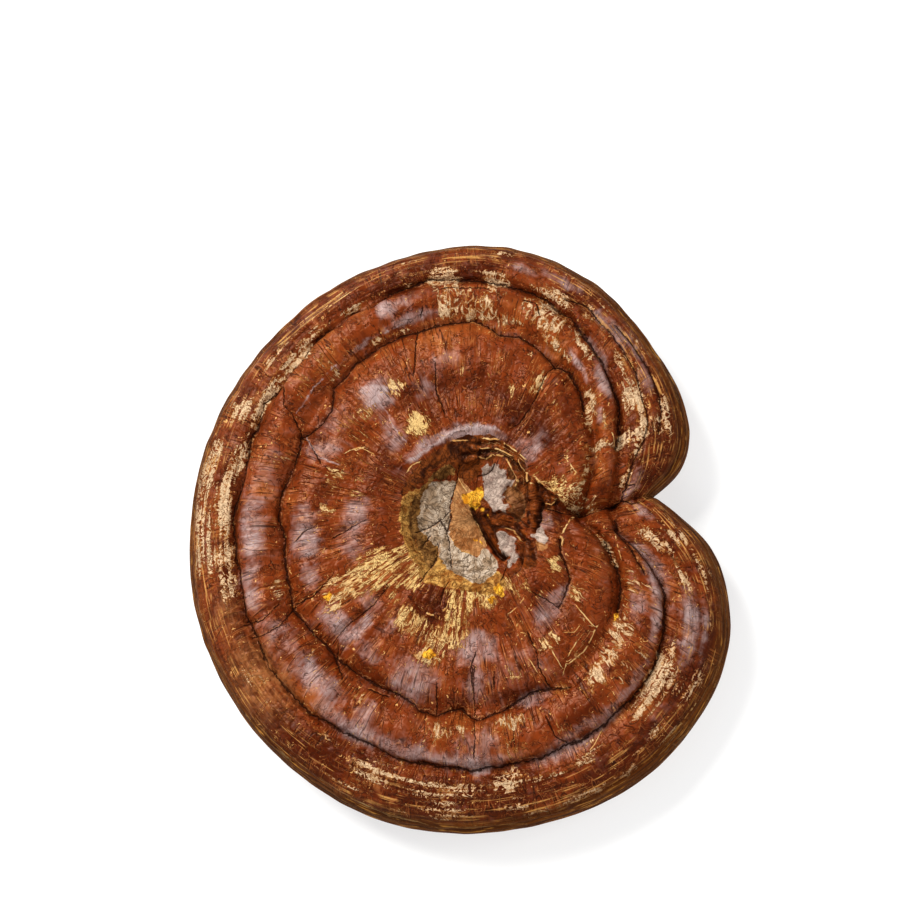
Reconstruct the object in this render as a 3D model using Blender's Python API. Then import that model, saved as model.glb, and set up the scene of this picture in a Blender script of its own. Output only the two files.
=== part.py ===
# A dried reishi cap, grown in one piece: a kidney shape whose two lobes have met round the stem.
# It lies on the flat cut of its short stem stub. The origin is the middle of that cut, +Z is up,
# and angles go round from +X, so the notch between the lobes lies near +X.

import math

import bmesh
import bpy
from mathutils import Vector, noise

MM = 0.001

# Growth lines round the cap, from one side of the notch to the other: the angle in degrees, then
# the radii in mm of the inner groove, of the groove inside the margin, and of the rim
GROWTH_LINES = (
    (7.0, 33.0, 44.0, 57.0),
    (13.0, 36.0, 46.5, 67.5),
    (20.0, 40.5, 49.5, 73.5),
    (30.0, 45.5, 55.0, 77.2),
    (45.0, 51.5, 63.0, 80.6),
    (65.0, 58.5, 71.5, 87.9),
    (85.0, 63.8, 77.5, 92.5),
    (110.0, 64.7, 79.2, 92.9),
    (135.0, 62.5, 78.0, 92.6),
    (160.0, 60.5, 76.3, 92.9),
    (185.0, 61.5, 77.2, 94.2),
    (210.0, 62.7, 79.5, 95.8),
    (235.0, 61.8, 80.3, 97.8),
    (258.0, 62.8, 80.9, 99.6),
    (282.0, 62.0, 81.2, 98.8),
    (303.0, 60.8, 79.8, 97.8),
    (320.0, 57.5, 75.5, 94.5),
    (332.0, 53.0, 69.6, 90.3),
    (343.0, 46.0, 60.0, 83.2),
    (352.0, 39.5, 48.5, 75.5),
    (359.5, 35.5, 45.0, 66.0),
    (367.0, 33.0, 44.0, 57.0),
)

# The shares of the way out at which those lines lie, after the round lip of the middle hollow
LIP_SHARE = 0.27
LIP_RADIUS = 25.0
LINE_SHARES = (0.65, 0.83, 1.0)

# The section from the middle of the top, out over the rim and back under to the stem cut:
# the share of the way out and the height in mm above the cut
SECTION = (
    (0.00, 20.6),
    (0.09, 20.4),
    (0.16, 21.8),
    (0.21, 25.2),
    (0.27, 28.0),
    (0.35, 28.8),
    (0.43, 27.8),
    (0.53, 28.5),
    (0.60, 27.4),
    (0.65, 24.6),
    (0.70, 26.8),
    (0.75, 27.7),
    (0.80, 26.3),
    (0.83, 23.4),
    (0.87, 24.3),
    (0.92, 23.0),
    (0.97, 19.8),
    (1.00, 14.0),
    (0.985, 8.8),
    (0.93, 6.6),
    (0.75, 5.6),
    (0.50, 5.0),
    (0.30, 4.6),
    (0.225, 3.2),
    (0.215, 0.0),
    (0.00, 0.0),
)
RIM_STATION = 17

# The seam where the lobes press together: the radius in mm and the angle it runs at
SEAM_LINE = ((23.0, 8.0), (27.0, 3.5), (34.0, 0.0), (42.0, 3.0), (50.0, 5.0), (57.0, 7.0))
SEAM_HALF_WIDTH = 3.2
SEAM_BEND_REACH = 14.0

# How far the seam pulls the surface down in mm, at places along the section; below, it pulls up
SEAM_DEPTHS = ((4.5, 0.0), (7.0, 6.5), (13.0, 6.5), (17.0, 0.0), (19.5, -2.5), (21.5, 0.0))

# The upper lobe's edge, curled up over the inner end of the seam
FLAP_RISE = 3.0
FLAP_SHARE = 0.46
FLAP_LENGTH = 0.13
FLAP_LIP = 2.5
FLAP_WIDTH = 9.0

# The folded knob on the floor of the middle hollow, in mm
KNOB_PLACE = (8.5, -3.5)
KNOB_REACH = (5.0, 8.5)
KNOB_RISE = 4.0

# Slow unevenness of the growth: height in mm and the distance between lumps in mm
LUMP_HEIGHT = 1.6
LUMP_SIZE = 34.0
RIM_WAVE = 0.8

# The net: columns round the cap, closer together at the seam, and two rings to a section step
COLUMNS = 88
RINGS = 2 * (len(SECTION) - 1)
CLOSER = 17.0
CLOSER_STILL = 8.0


def smooth_row(rows, places, place):
    """The values at a place, on a smooth curve through the rows that stand at the places."""
    last = len(rows) - 1
    low = max(i for i in range(last) if places[i] <= place or i == 0)
    gap = places[low + 1] - places[low]
    u = (place - places[low]) / gap
    before, after = max(low - 1, 0), min(low + 2, last)
    values = []
    for y0, y1, y2, y3 in zip(rows[before], rows[low], rows[low + 1], rows[after]):
        start = (y2 - y0) / (places[low + 1] - places[before]) * gap
        end = (y3 - y1) / (places[after] - places[low]) * gap
        values.append(
            y1 * (1 + 2 * u) * (1 - u) ** 2
            + start * u * (1 - u) ** 2
            + y2 * u * u * (3 - 2 * u)
            + end * u * u * (u - 1)
        )
    return values


def straight(pairs, x):
    """The value at x on straight lines through the pairs, level beyond the ends."""
    if x <= pairs[0][0]:
        return pairs[0][1]
    for (x0, y0), (x1, y1) in zip(pairs, pairs[1:]):
        if x <= x1:
            return y0 + (y1 - y0) * (x - x0) / (x1 - x0)
    return pairs[-1][1]


def rise(x, low, high):
    """0 below low, 1 above high, and smooth in between."""
    u = min(max((x - low) / (high - low), 0.0), 1.0)
    return u * u * (3 - 2 * u)


def radius_at(share, angle):
    """The radius in mm at a share of the way out, at an angle in degrees from the notch on."""
    start = GROWTH_LINES[0][0]
    lines = smooth_row([row[1:] for row in GROWTH_LINES], [row[0] for row in GROWTH_LINES], start + angle)
    return straight([(0.0, 0.0), (LIP_SHARE, LIP_RADIUS), *zip(LINE_SHARES, lines)], share)


def cap_point(turn, station):
    """Where a point of the net lies: turn in degrees from the seam, station along the section."""
    share, height = smooth_row(SECTION, range(len(SECTION)), station)
    share = min(max(share, 0.0), 1.0)
    around = math.radians(turn)
    angle = turn - CLOSER * math.sin(around) - CLOSER_STILL * math.sin(2 * around)
    radius = radius_at(share, angle)
    from_seam = angle if angle <= 180 else angle - 360
    beside = radius * math.radians(from_seam)

    height -= straight(SEAM_DEPTHS, station) * math.exp(-abs(beside) / SEAM_HALF_WIDTH)

    bend = straight(SEAM_LINE, radius) - GROWTH_LINES[0][0]
    angle += GROWTH_LINES[0][0] + bend * math.exp(-((from_seam / SEAM_BEND_REACH) ** 2))
    x = radius * math.cos(math.radians(angle))
    y = radius * math.sin(math.radians(angle))

    free = rise(share, LIP_SHARE, 0.6)
    lumps = LUMP_HEIGHT * noise.noise(Vector((x, y, 5.0)) / LUMP_SIZE)
    height += free * (lumps + RIM_WAVE * math.sin(math.radians(3 * angle + 40)) * share)
    if station < RIM_STATION:
        along_flap = (share - FLAP_SHARE) / FLAP_LENGTH
        over_flap = rise(beside, 0.0, FLAP_LIP) * math.exp(-max(beside, 0.0) / FLAP_WIDTH)
        height += FLAP_RISE * over_flap * math.exp(-along_flap * along_flap)
        across = (x - KNOB_PLACE[0]) / KNOB_REACH[0]
        along = (y - KNOB_PLACE[1]) / KNOB_REACH[1]
        height += KNOB_RISE * math.exp(-across * across - along * along)
    return Vector((x, y, max(height, 0.0))) * MM


def make_cap():
    """The cap from a sphere's net, each point carried to its place on the section."""
    bm = bmesh.new()
    bmesh.ops.create_uvsphere(bm, u_segments=COLUMNS, v_segments=RINGS, radius=1.0)
    for vert in bm.verts:
        turn = math.degrees(math.atan2(vert.co.y, vert.co.x)) % 360
        station = math.acos(min(max(vert.co.z, -1.0), 1.0)) / math.pi * (len(SECTION) - 1)
        vert.co = cap_point(turn, station)
    bmesh.ops.recalc_face_normals(bm, faces=bm.faces)
    mesh = bpy.data.meshes.new("cap")
    bm.to_mesh(mesh)
    bm.free()
    mesh.shade_smooth()
    return mesh


def lacquer():
    """The cap's dark red-brown natural lacquer."""
    material = bpy.data.materials.new("lacquered_crust")
    material.use_nodes = True
    shader = material.node_tree.nodes["Principled BSDF"]
    shader.inputs["Base Color"].default_value = (0.19, 0.045, 0.018, 1.0)
    shader.inputs["Roughness"].default_value = 0.4
    shader.inputs["Metallic"].default_value = 0.0
    return material


for old in list(bpy.data.objects):
    bpy.data.objects.remove(old, do_unlink=True)

reishi = bpy.data.collections.new("reishi_mushroom")
bpy.context.scene.collection.children.link(reishi)

cap = bpy.data.objects.new("cap", make_cap())
cap.data.materials.append(lacquer())
reishi.objects.link(cap)
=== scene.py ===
import math

import bmesh
import bpy
import numpy as np
from mathutils import Matrix, Vector, noise


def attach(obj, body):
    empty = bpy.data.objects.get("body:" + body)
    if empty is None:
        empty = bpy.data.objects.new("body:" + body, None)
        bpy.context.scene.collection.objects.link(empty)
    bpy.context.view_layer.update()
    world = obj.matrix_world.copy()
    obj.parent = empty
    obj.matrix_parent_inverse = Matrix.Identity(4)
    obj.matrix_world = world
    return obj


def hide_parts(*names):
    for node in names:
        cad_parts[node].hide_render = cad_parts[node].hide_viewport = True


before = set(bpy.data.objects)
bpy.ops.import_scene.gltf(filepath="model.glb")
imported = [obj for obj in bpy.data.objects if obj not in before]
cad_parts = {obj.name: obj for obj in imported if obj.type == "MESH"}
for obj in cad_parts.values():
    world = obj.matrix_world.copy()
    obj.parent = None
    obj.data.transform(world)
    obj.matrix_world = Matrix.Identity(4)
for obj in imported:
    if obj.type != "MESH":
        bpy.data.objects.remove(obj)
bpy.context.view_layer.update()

MM = 0.001

# The camera looks down on the cap as the photograph does, from high up and a little from its
# front right, through a long lens. It is rolled so that the cap's own +Y runs up the picture.
VIEW_TURN = math.radians(30)
VIEW_HEIGHT = math.radians(74)
VIEW_DISTANCE = 1.0
VIEW_AIM = Vector((-8.34, 24.4, 14.0)) * MM
PHOTO_WIDTH = 900
PIXEL_AT_AIM = 0.3228 * MM
SENSOR = 36.0

towards_camera = Vector((
    math.sin(VIEW_TURN) * math.cos(VIEW_HEIGHT),
    -math.cos(VIEW_TURN) * math.cos(VIEW_HEIGHT),
    math.sin(VIEW_HEIGHT),
))
picture_up = (Vector((0, 1, 0)) - towards_camera * towards_camera.y).normalized()
picture_right = picture_up.cross(towards_camera)
eye = VIEW_AIM + towards_camera * VIEW_DISTANCE

camera_data = bpy.data.cameras.new("camera")
camera_data.sensor_width = SENSOR
camera_data.lens = SENSOR * VIEW_DISTANCE / (PHOTO_WIDTH * PIXEL_AT_AIM)
camera = bpy.data.objects.new("camera", camera_data)
camera_turn = Matrix((picture_right, picture_up, towards_camera)).transposed()
camera.matrix_world = Matrix.Translation(eye) @ camera_turn.to_4x4()
bpy.context.scene.collection.objects.link(camera)
bpy.context.scene.camera = camera


# The cap's body: woody flesh under a natural lacquer, grown outwards in rings from the stem.
# It is one closed net, a sphere's, whose rings follow the section and whose columns run out
# from the middle; the columns double where the growth rings get long.
GROWTH_LINES = np.array((
    (7.0, 33.0, 44.0, 57.0),
    (13.0, 36.0, 46.5, 67.5),
    (20.0, 40.5, 49.5, 73.5),
    (30.0, 45.5, 55.0, 77.2),
    (45.0, 51.5, 63.0, 80.6),
    (65.0, 58.5, 71.5, 87.9),
    (85.0, 63.8, 77.5, 92.5),
    (110.0, 64.7, 79.2, 92.9),
    (135.0, 62.5, 78.0, 92.6),
    (160.0, 60.5, 76.3, 92.9),
    (185.0, 61.5, 77.2, 94.2),
    (210.0, 62.7, 79.5, 95.8),
    (235.0, 61.8, 80.3, 97.8),
    (258.0, 62.8, 80.9, 99.6),
    (282.0, 62.0, 81.2, 98.8),
    (303.0, 60.8, 79.8, 97.8),
    (320.0, 57.5, 75.5, 94.5),
    (332.0, 53.0, 69.6, 90.3),
    (343.0, 46.0, 60.0, 83.2),
    (352.0, 39.5, 48.5, 75.5),
    (359.5, 35.5, 45.0, 66.0),
    (367.0, 33.0, 44.0, 57.0),
))
LIP_SHARE = 0.27
LIP_RADIUS = 25.0
LINE_SHARES = (0.65, 0.83, 1.0)

# The section, as share of the way out and height in mm, with the rings up to the next point
SECTION = np.array((
    (0.00, 20.6, 16),
    (0.09, 20.4, 15),
    (0.16, 21.8, 14),
    (0.21, 25.2, 13),
    (0.27, 28.0, 13),
    (0.35, 28.8, 10),
    (0.43, 27.8, 12),
    (0.53, 28.5, 9),
    (0.60, 27.4, 9),
    (0.65, 24.6, 9),
    (0.70, 26.8, 6),
    (0.75, 27.7, 6),
    (0.80, 26.3, 8),
    (0.83, 23.4, 8),
    (0.87, 24.3, 7),
    (0.92, 23.0, 9),
    (0.97, 19.8, 11),
    (1.00, 14.0, 8),
    (0.985, 8.8, 5),
    (0.93, 6.6, 6),
    (0.75, 5.6, 6),
    (0.50, 5.0, 5),
    (0.30, 4.6, 4),
    (0.225, 3.2, 3),
    (0.215, 0.0, 4),
    (0.00, 0.0, 0),
))
RIM_STATION = 17
COLUMNS = 300
DOUBLED_FROM = 6.0
DOUBLED_TO = 19.0
CLOSER = math.radians(8)
CLOSER_STILL = math.radians(4)


def smooth_curve(places, values, x):
    """The rows of values at each x, on a smooth curve through the rows at the places."""
    slopes = np.empty_like(values)
    slopes[1:-1] = (values[2:] - values[:-2]) / (places[2:] - places[:-2])[:, None]
    slopes[0] = (values[1] - values[0]) / (places[1] - places[0])
    slopes[-1] = (values[-1] - values[-2]) / (places[-1] - places[-2])
    low = np.clip(np.searchsorted(places, x, side="right") - 1, 0, len(places) - 2)
    gap = (places[low + 1] - places[low])[:, None]
    u = (x - places[low])[:, None] / gap
    flat = values[low] * (1 + 2 * u) * (1 - u) ** 2 + values[low + 1] * u * u * (3 - 2 * u)
    return flat + slopes[low] * gap * u * (1 - u) ** 2 + slopes[low + 1] * gap * u * u * (u - 1)


def rise(x, low, high):
    """0 below low, 1 above high, and smooth in between."""
    u = np.clip((x - low) / (high - low), 0.0, 1.0)
    return u * u * (3 - 2 * u)


def hump(x, middle, reach):
    """1 at the middle, falling off smoothly over the reach."""
    return np.exp(-(((x - middle) / reach) ** 2))


def lumps(*coordinates):
    """Even noise from -1 to 1 with lumps about one unit across."""
    columns = [np.broadcast_to(c, every.shape) for c in coordinates]
    return np.array([noise.noise(Vector(point)) for point in zip(*columns)])


def cap_net():
    """A sphere's net with the cap's rings, and its columns doubled over the outer growth."""
    stations = np.concatenate([
        np.arange(count) / count + station for station, count in enumerate(SECTION[:-1, 2].astype(int))
    ])
    stations = np.append(stations, len(SECTION) - 1.0)
    rings = len(stations) - 1
    bm = bmesh.new()
    bmesh.ops.create_uvsphere(bm, u_segments=COLUMNS, v_segments=rings, radius=1.0)

    def ring_of(vert):
        return round(math.acos(max(-1.0, min(1.0, vert.co.z))) / math.pi * rings)

    doubled = []
    for scuff_edge_shade in bm.edges:
        first, second = (ring_of(vert) for vert in scuff_edge_shade.verts)
        if first == second and DOUBLED_FROM <= stations[first] <= DOUBLED_TO:
            doubled.append(scuff_edge_shade)
    bmesh.ops.subdivide_edges(bm, edges=doubled, cuts=1)
    places = np.array([vert.co[:] for vert in bm.verts])
    turns = np.arctan2(places[:, 1], places[:, 0]) % (2 * math.pi)
    return bm, turns, stations[[ring_of(vert) for vert in bm.verts]]


bm, turns, stations = cap_net()
every = np.arange(len(stations))
sections = smooth_curve(np.arange(len(SECTION)), SECTION[:, :2], stations)
share = np.clip(sections[:, 0], 0.0, 1.0)
height = sections[:, 1]

# Round the cap, each growth line's radius is read off and the radius between them is straight
round_seam = turns - CLOSER * np.sin(turns) - CLOSER_STILL * np.sin(2 * turns)
start = GROWTH_LINES[0, 0]
lines = smooth_curve(GROWTH_LINES[:, 0], GROWTH_LINES[:, 1:], start + np.degrees(round_seam))
knot_shares = np.array((0.0, LIP_SHARE, *LINE_SHARES))
knot_radii = np.column_stack((np.zeros(len(lines)), np.full(len(lines), LIP_RADIUS), lines))
low = np.clip(np.searchsorted(knot_shares, share, side="right") - 1, 0, 3)
part_way = (share - knot_shares[low]) / (knot_shares[low + 1] - knot_shares[low])
radius = knot_radii[every, low] * (1 - part_way) + knot_radii[every, low + 1] * part_way

# How far along the section each point lies, in mm on a section of the usual size
USUAL_RADIUS = 92.0
fine = np.linspace(0, len(SECTION) - 1, 2001)
fine_section = smooth_curve(np.arange(len(SECTION)), SECTION[:, :2], fine) * (USUAL_RADIUS, 1.0)
steps = np.hypot(*np.diff(fine_section, axis=0).T)
way = np.interp(stations, fine, np.concatenate(([0.0], np.cumsum(steps))))

# The seam where the two lobes have met and press together
SEAM_LINE = np.array(((23.0, 8.0), (27.0, 3.5), (34.0, 0.0), (42.0, 3.0), (50.0, 5.0), (57.0, 7.0)))
SEAM_HALF_WIDTH = 3.2
SEAM_BEND_REACH = math.radians(14)
SEAM_DEPTHS = np.array(((4.5, 0.0), (7.0, 6.5), (13.0, 6.5), (17.0, 0.0), (19.5, -2.5), (21.5, 0.0)))
from_seam = np.where(round_seam > math.pi, round_seam - 2 * math.pi, round_seam)
beside = radius * from_seam
height = height - np.interp(stations, *SEAM_DEPTHS.T) * np.exp(-np.abs(beside) / SEAM_HALF_WIDTH)
bend = np.radians(np.interp(radius, *SEAM_LINE.T) - start)
angle = round_seam + math.radians(start) + bend * hump(from_seam, 0, SEAM_BEND_REACH)
across, up = np.cos(angle), np.sin(angle)
x, y = radius * across, radius * up

# Slow unevenness, the upper lobe's curled edge and the knob in the hollow
LUMP_HEIGHT = 1.6
LUMP_SIZE = 34.0
RIM_WAVE = 0.8
FLAP_RISE = 3.0
FLAP_SHARE = 0.46
FLAP_LENGTH = 0.13
FLAP_LIP = 2.5
FLAP_WIDTH = 9.0
KNOB_PLACE = (8.5, -3.5)
KNOB_REACH = (5.0, 8.5)
KNOB_RISE = 4.0
free = rise(share, LIP_SHARE, 0.6)
slow = LUMP_HEIGHT * lumps(x / LUMP_SIZE, y / LUMP_SIZE, 5.0 / LUMP_SIZE)
height = height + free * (slow + RIM_WAVE * np.sin(3 * angle + math.radians(40)) * share)
on_top = stations < RIM_STATION
over_flap = rise(beside, 0.0, FLAP_LIP) * np.exp(-np.maximum(beside, 0.0) / FLAP_WIDTH)
height = height + on_top * FLAP_RISE * over_flap * hump(share, FLAP_SHARE, FLAP_LENGTH)
knob = hump(x, KNOB_PLACE[0], KNOB_REACH[0]) * hump(y, KNOB_PLACE[1], KNOB_REACH[1])
height = height + on_top * KNOB_RISE * knob

# Ring lines, cracks, bare straws of flesh: where they run over the top, in mm
RING_LINES = (
    (
        (46.5, 20.5), (47.5, 25), (47.5, 31), (47, 36.5), (45, 42), (42.5, 49), (38.5, 55.5),
        (34.5, 61), (32, 64.5), (28.5, 66.5), (24.5, 70.5), (20, 73), (11, 76.5), (1.5, 78.5),
        (-6.5, 79), (-14, 79), (-20, 77), (-26.5, 75), (-32, 70.5), (-38.5, 69), (-43, 64.5), (-47, 63),
        (-51, 59.5), (-54.5, 54.5), (-58, 50.5), (-61, 46.5), (-64, 42.5), (-67.5, 39.5), (-70, 31),
        (-72, 27.5), (-73, 21.5), (-74, 15), (-76, 9), (-77.5, 2), (-77, -5), (-76.5, -11.5),
        (-75, -18), (-74, -24.5), (-73, -30), (-70, -36), (-68, -41), (-65, -47), (-61, -52),
        (-56, -57.5), (-51.5, -62), (-46.5, -65), (-42, -68), (-36.5, -71), (-31.5, -73),
        (-25.5, -76.5), (-19.5, -78.5), (-14.5, -79), (-10, -80), (-4.5, -80.5), (0.5, -81.5),
        (4.5, -80.5), (8, -80.5), (15, -79), (21.5, -78), (28.5, -74.5), (34.5, -72.5), (42, -67.5),
        (46, -63.5), (50, -60), (55, -53.5), (57, -50), (58.5, -46), (60.5, -39.5), (61, -33),
        (61, -27), (59.5, -22.5), (56, -16.5), (52, -11.5), (47, -7),
    ),
    (
        (36.5, 33), (36, 36.5), (34, 41.5), (31.5, 46), (27, 49), (24.5, 51.5), (20.5, 55.5),
        (16, 58.5), (9.5, 59), (5.5, 62.5), (1.5, 64.5), (-3.5, 64), (-10.5, 63.5), (-16, 62),
        (-23, 60), (-29.5, 57), (-33, 54.5), (-38, 51), (-41, 47), (-45, 43.5), (-45, 35.5),
        (-49.5, 30), (-55, 27.5), (-56, 22), (-59, 14), (-61.5, 7.5), (-62, 1), (-60.5, -5.5),
        (-60.5, -10.5), (-59.5, -17.5), (-58, -23.5), (-57, -28.5), (-53.5, -33), (-50, -37.5),
        (-46.5, -40.5), (-44, -44), (-39.5, -47.5), (-35.5, -50.5), (-29, -54.5), (-22.5, -57.5),
        (-19, -59.5), (-16, -62), (-11, -63.5), (-6.5, -62.5), (-3, -62), (-0.5, -64), (2.5, -65.5),
        (9, -63), (15, -59.5), (18.5, -57.5), (25.5, -56), (31, -55.5),
    ),
    ((42, -9.5), (44.5, -14.5), (46.5, -20), (47, -25), (46, -32)),
    (
        (30.5, 71), (38, 68), (41, 63.5), (44.5, 59.5), (49, 53), (53, 45.5), (54.5, 38), (56.5, 31.5),
        (56.5, 28), (55.5, 23.5), (52, 17), (50, 11.5), (48.5, 7.5),
    ),
    ((46.5, 61.5), (52.5, 54.5), (57, 47), (60, 39), (61, 33), (60, 25.5)),
    ((45.5, -2.5), (46.5, -6.5), (50.5, -12), (53, -17), (55, -20.5)),
    ((28.5, -9.5), (29, -14), (30.5, -18), (31.5, -22), (30, -26.5), (28, -30.5)),
)
CRACKS = (
    ((-73.5, -33), (-71, -32.5), (-67, -32.5), (-64.5, -30.5), (-61.5, -27)),
    ((-56, -27), (-50.5, -25.5), (-47, -22), (-44, -19)),
    ((-70.5, -37), (-66, -37), (-61, -34.5), (-58, -30.5), (-56.5, -28)),
    ((-44.5, -40.5), (-39, -35), (-34.5, -31.5), (-31, -28.5), (-29, -26), (-26.5, -23)),
    ((-44, -6.5), (-38, -3), (-33.5, -1)),
    ((-56, -7), (-53, -4), (-49.5, -2.5)),
    ((-42.5, -40.5), (-43, -45.5), (-40.5, -51.5)),
    ((-11, 49.5), (-11, 41), (-8, 33)),
    ((-17.5, 61.5), (-17.5, 52), (-18, 46)),
    ((-61, 44), (-60.5, 38), (-57.5, 34.5), (-55.5, 30), (-55, 27.5)),
    ((-55, 27.5), (-52.5, 26), (-48, 18)),
    (
        (-4, 16.5), (-5, 12.5), (-6, 9.5), (-7, 6.5), (-7.5, 3.5), (-7, 1), (-8, -2.5), (-8.5, -4.5),
        (-7.5, -7), (-7.5, -10), (-7, -12.5), (-6.5, -16),
    ),
    ((-7.5, 2.5), (-9.5, 0.5), (-12, -1.5), (-14.5, -3), (-17.5, -4.5)),
    ((-10.5, 0), (-8.5, -4)),
    ((-11, -8), (-11, -11), (-11.5, -14), (-13, -17), (-14.5, -19.5), (-15.5, -21.5)),
    ((-13.5, -5.5), (-15.5, -9)),
    ((2, 13.5), (4.5, 14), (6.5, 15), (7.5, 16.5)),
    ((-7, -21.5), (-8, -23.5), (-9, -26.5), (-9.5, -29)),
    ((10, -21.5), (11, -17.5), (12.5, -14)),
    ((28, 49), (25, 46), (22.5, 40), (21, 36.5), (18.5, 33), (16, 29), (13.5, 27.5)),
    ((18, -38.5), (21, -45), (21.5, -49.5), (24.5, -55.5)),
    ((1, -64), (1, -53), (1.5, -49)),
    ((-11, -63), (-10.5, -55)),
    ((7.5, -56), (7.5, -51)),
    ((1, -65.5), (1.5, -71.5), (1, -77.5)),
    ((23.5, -65), (26.5, -71.5), (30, -73.5)),
    ((20, -26), (24.5, -28.5), (28, -31)),
    ((-32, -55), (-26, -57.5)),
    ((-15.5, 68.5), (-16, 66)),
    ((-10, 75.5), (-2.5, 75.5), (6, 75)),
    ((17.5, 70.5), (21.5, 69), (22.5, 65)),
    ((1, -56), (0, -49.5), (2, -44)),
    (
        (21, 1), (24, 1), (27, 0), (30.5, -0.5), (33, 0), (36, -0.5), (40.5, 1), (45, 3.5), (48, 4.5),
        (51, 3), (54.5, 4), (57.5, 6.5),
    ),
    ((47.5, 5), (48, 7), (49.5, 8.5), (52, 9)),
)

# The straws start with their half width
STRAWS = (
    (0.15, (29, -51.5), (31.5, -45), (35, -40), (38.5, -37.5)),
    (0.15, (30.5, -49), (36, -44.5), (40, -37)),
    (0.15, (33.5, -30.5), (37.5, -35.5), (39.5, -37.5)),
    (0.15, (26, -45), (28.5, -49.5)),
    (0.15, (30, -39), (33, -39), (36, -35)),
    (0.17, (43, 28.5), (45.5, 25), (46.5, 20)),
    (0.17, (30.5, 17), (34, 12)),
    (0.15, (12.5, -32.5), (15, -30.5), (17, -28)),
    (0.15, (63.5, -27), (64, -29.5)),
    (0.15, (66.5, -22.5), (67.5, -26.5)),
    (0.15, (46, -8.5), (47.5, -15.5)),
    (0.15, (19, -47.5), (21.5, -52)),
    (0.15, (13.5, -52.5), (16, -52.5)),
    (0.15, (40.5, -69.5), (38, -74), (35.5, -77)),
    (0.15, (-40, 21), (-35.5, 23), (-31, 20.5)),
    (0.15, (-37, 21.5), (-34, 23)),
    (
        0.19, (3, 19), (5, 18.5), (7, 19.5), (9.5, 19), (11.5, 18), (13, 15.5), (14, 13), (15.5, 11),
        (14.5, 9),
    ),
    (0.16, (3.5, 21.5), (6.5, 21.5), (9, 21), (11, 20), (13.5, 18.5)),
    (0.26, (4.5, 24.5), (6, 24), (8.5, 24), (10.5, 23.5), (11.5, 22)),
    (0.16, (12, 22), (14, 20.5), (16, 19), (18, 17)),
    (0.16, (15.5, 17), (16.5, 15), (17.5, 13.5)),
    (0.23, (19, 13.5), (18, 12.5), (18, 10.5), (19.5, 9.5)),
    (0.24, (-5.5, 24), (-3.5, 24), (-1, 24)),
    (0.18, (-20, 14.5), (-18.5, 16.5), (-16, 17.5)),
    (0.19, (20.5, 11.5), (22.5, 9.5), (25.5, 7), (28, 4.5), (29.5, 3)),
    (0.18, (23, 3), (25.5, 2.5), (27.5, 3.5)),
    (0.31, (32.5, -1.5), (31, -4), (29.5, -7)),
    (0.31, (29, -8.5), (29.5, -9.5), (29, -11.5)),
    (0.19, (10.5, -4), (13, -4.5), (14.5, -6.5), (16, -8.5)),
    (0.15, (-0.5, 1.5), (1.5, -2), (3.5, -6.5), (4.5, -9)),
    (0.29, (-16.5, -29), (-14.5, -31), (-12, -32.5), (-9.5, -32), (-7.5, -30.5)),
    (0.15, (-4.5, 13), (-3, 10.5), (-2, 9)),
    (0.15, (58, 53), (61, 47.5), (64, 41), (66, 36.5)),
    (0.15, (-39.5, -88), (-27, -94), (-11, -98), (4.5, -98), (16.5, -97)),
    (0.15, (-81.5, -50.5), (-79, -55.5), (-72.5, -61.5), (-67.5, -68.5), (-59, -75.5)),
    (0.15, (-64, 57.5), (-56, 64), (-47, 70.5), (-36, 78)),
    (0.15, (-56, 66.5), (-49.5, 71.5), (-41.5, 77)),
    (0.15, (74, -11.5), (77, -17.5), (78.5, -26)),
    (0.15, (79.5, -35), (78.5, -44), (75, -53.5)),
    (0.17, (76, -53), (72, -61), (66, -69.5), (58.5, -76.5)),
    (0.15, (70, -60), (65, -67), (60, -72)),
)
REACH = 2.2


def beside_lines(polylines, half_widths=None):
    """How far each point of the top lies beside the nearest line, with its side as the sign and
    in half widths, and how surely it lies beside that line rather than beyond its end."""
    top = np.flatnonzero(stations < RIM_STATION + 0.5)
    points = np.column_stack((x[top], y[top]))
    nearest = np.full(len(top), 99.0)
    side = np.ones(len(top))
    fade = np.zeros(len(top))
    width = np.ones(len(top))
    for number, line in enumerate(polylines):
        line = np.array(line)
        for k, (a, b) in enumerate(zip(line, line[1:])):
            length = np.hypot(*(b - a))
            ahead = (b - a) / length
            along = (points - a) @ ahead
            apart = points - a - np.clip(along, 0, length)[:, None] * ahead
            distance = np.hypot(*apart.T)
            closer = distance < nearest
            beyond = np.zeros(len(top))
            if k == 0:
                beyond = np.maximum(beyond, -along)
            if k == len(line) - 2:
                beyond = np.maximum(beyond, along - length)
            nearest = np.where(closer, distance, nearest)
            turned = ahead[0] * (points - a)[:, 1] - ahead[1] * (points - a)[:, 0]
            side = np.where(closer, np.where(turned < 0, -1.0, 1.0), side)
            fade = np.where(closer, 1 - rise(beyond, 0.0, 1.0), fade)
            if half_widths:
                width = np.where(closer, half_widths[number], width)
    gap = np.full(len(stations), 9.0)
    near = np.zeros(len(stations))
    gap[top] = np.minimum(nearest, 9.0) * side / width
    near[top] = fade * (1 - rise(nearest, 0.6 * REACH, REACH))
    return gap, near


ring_gap, ring_near = beside_lines(RING_LINES)
crack_gap, crack_near = beside_lines(CRACKS)
straw_gap, straw_near = beside_lines([line[1:] for line in STRAWS], [line[0] for line in STRAWS])

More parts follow.
